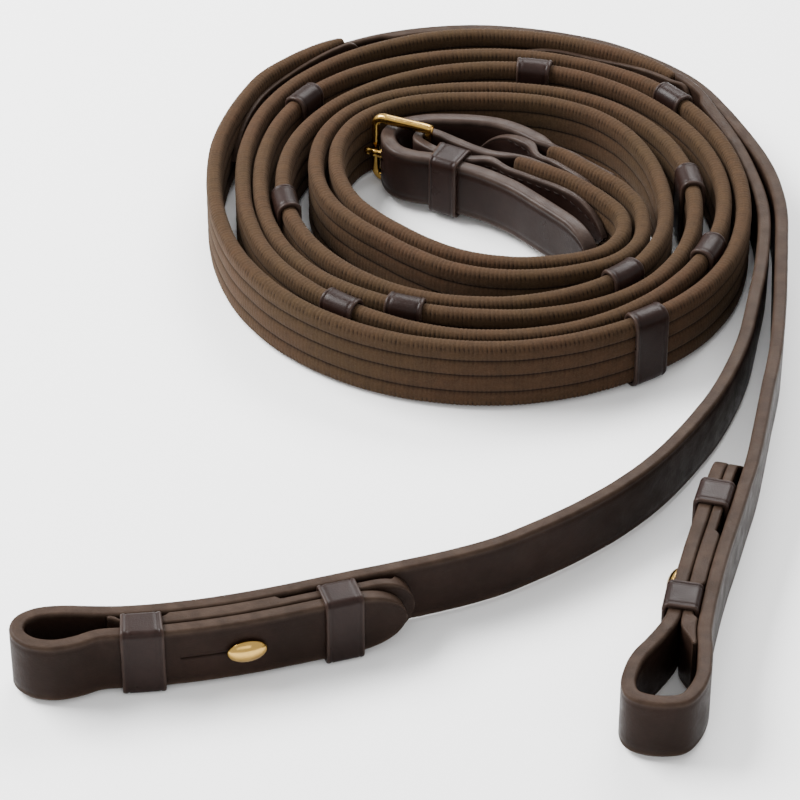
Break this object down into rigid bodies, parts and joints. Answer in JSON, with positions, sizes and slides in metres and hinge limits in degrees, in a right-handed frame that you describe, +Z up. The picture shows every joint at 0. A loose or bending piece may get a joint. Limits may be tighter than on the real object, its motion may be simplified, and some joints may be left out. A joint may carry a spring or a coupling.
{
  "type": "riding reins",
  "caption": "Pair of ribbed web reins with leather hand stops, hook-stud bit ends and a centre buckle, coiled on edge for storage.",
  "frame": {"origin": "on the floor, under the middle of the coiled reins' box", "axes": "+Z up across the straps' width, +Y from the bit ends to the back of the coil, +X to the right"},
  "size_m": [0.188, 0.2824, 0.0214],
  "materials": {
    "leather": "dark brown bridle leather, waxed, satin",
    "glossy_leather": "dark brown smooth leather, burnished, glossy",
    "cotton_web": "dark brown ribbed cotton web, matte",
    "brass": "polished brass, light gold"
  },
  "bodies": {
    "reins": {"left_bit_strap": "leather", "left_bit_backing": "leather", "left_hook_stud": "brass", "left_loop_keeper": "leather", "left_web": "cotton_web", "left_web_tongue": "leather", "left_hand_stop_1": "glossy_leather", "left_hand_stop_2": "glossy_leather", "left_hand_stop_3": "glossy_leather", "left_hand_stop_4": "glossy_leather", "left_hand_stop_5": "glossy_leather", "right_bit_strap": "leather", "right_bit_backing": "leather", "right_hook_stud": "brass", "right_loop_keeper": "leather", "right_web": "cotton_web", "right_web_tongue": "leather", "right_hand_stop_1": "glossy_leather", "right_hand_stop_2": "glossy_leather", "right_hand_stop_3": "glossy_leather", "right_hand_stop_4": "glossy_leather", "right_hand_stop_5": "glossy_leather", "buckle_strap": "leather", "buckle_strap_lining": "leather", "buckle_chape": "leather", "buckle_keeper": "glossy_leather"},
    "buckle_frame": {"buckle_frame": "brass"},
    "buckle_tongue": {"buckle_tongue": "brass"},
    "left_runner": {"left_runner_keeper": "leather"},
    "right_runner": {"right_runner_keeper": "leather"}
  },
  "joints": [
    {"name": "buckle_frame_hinge", "type": "hinge", "parent": "reins", "child": "buckle_frame", "pos_m": [0.0008, 0.083, 0.0103], "axis": [0, 0, 1], "range_deg": [-2, 4]},
    {"name": "buckle_tongue_hinge", "type": "hinge", "parent": "buckle_frame", "child": "buckle_tongue", "pos_m": [0.0008, 0.083, 0.0103], "axis": [0, 0, 1], "range_deg": [0, 4]},
    {"name": "left_runner_slide", "type": "slide", "parent": "reins", "child": "left_runner", "axis": [0.9537, 0.3009, 0], "range_m": [-0.008, 0.008]},
    {"name": "right_runner_slide", "type": "slide", "parent": "reins", "child": "right_runner", "axis": [0.269, 0.9631, 0], "range_m": [-0.008, 0.008]}
  ]
}
